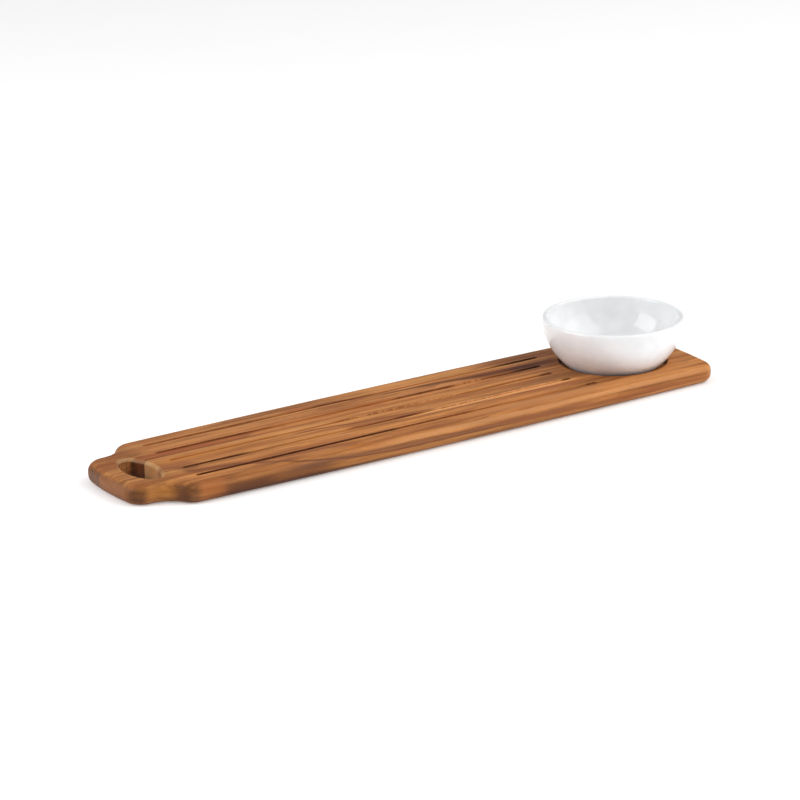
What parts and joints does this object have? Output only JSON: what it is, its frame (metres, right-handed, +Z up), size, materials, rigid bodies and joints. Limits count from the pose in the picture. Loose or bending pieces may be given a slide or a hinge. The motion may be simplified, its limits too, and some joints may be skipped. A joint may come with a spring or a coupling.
{
  "type": "chip and dip server",
  "caption": "Long oiled-wood serving board with a pierced handle and shallow grooves, and a loose white porcelain dip bowl that stands in a round recess.",
  "frame": {"origin": "centre of the board's footprint, on its underside", "axes": "+X along the board from the handle towards the bowl, +Y across it towards the back edge, +Z up"},
  "size_m": [0.61, 0.1384, 0.0609],
  "materials": {
    "light_wood": "oiled satin, light orange-brown",
    "streaked_wood": "oiled satin, brown with dark chocolate streaks",
    "dark_wood": "oiled satin, reddish brown, very dark end grain",
    "warm_wood": "oiled satin, warm orange-brown with purple-brown streaks",
    "porcelain": "glossy white glaze"
  },
  "bodies": {
    "board": {"stave_back": "light_wood", "stave_back_inner": "streaked_wood", "stave_centre": "dark_wood", "handle_end_centre": "dark_wood", "stave_front_inner": "light_wood", "handle_end_front_inner": "light_wood", "stave_front": "warm_wood"},
    "bowl": {"dip_bowl": "porcelain"}
  },
  "joints": [
    {"name": "bowl_lift", "type": "slide", "parent": "board", "child": "bowl", "axis": [0, 0, 1], "range_m": [0, 0.08]}
  ]
}
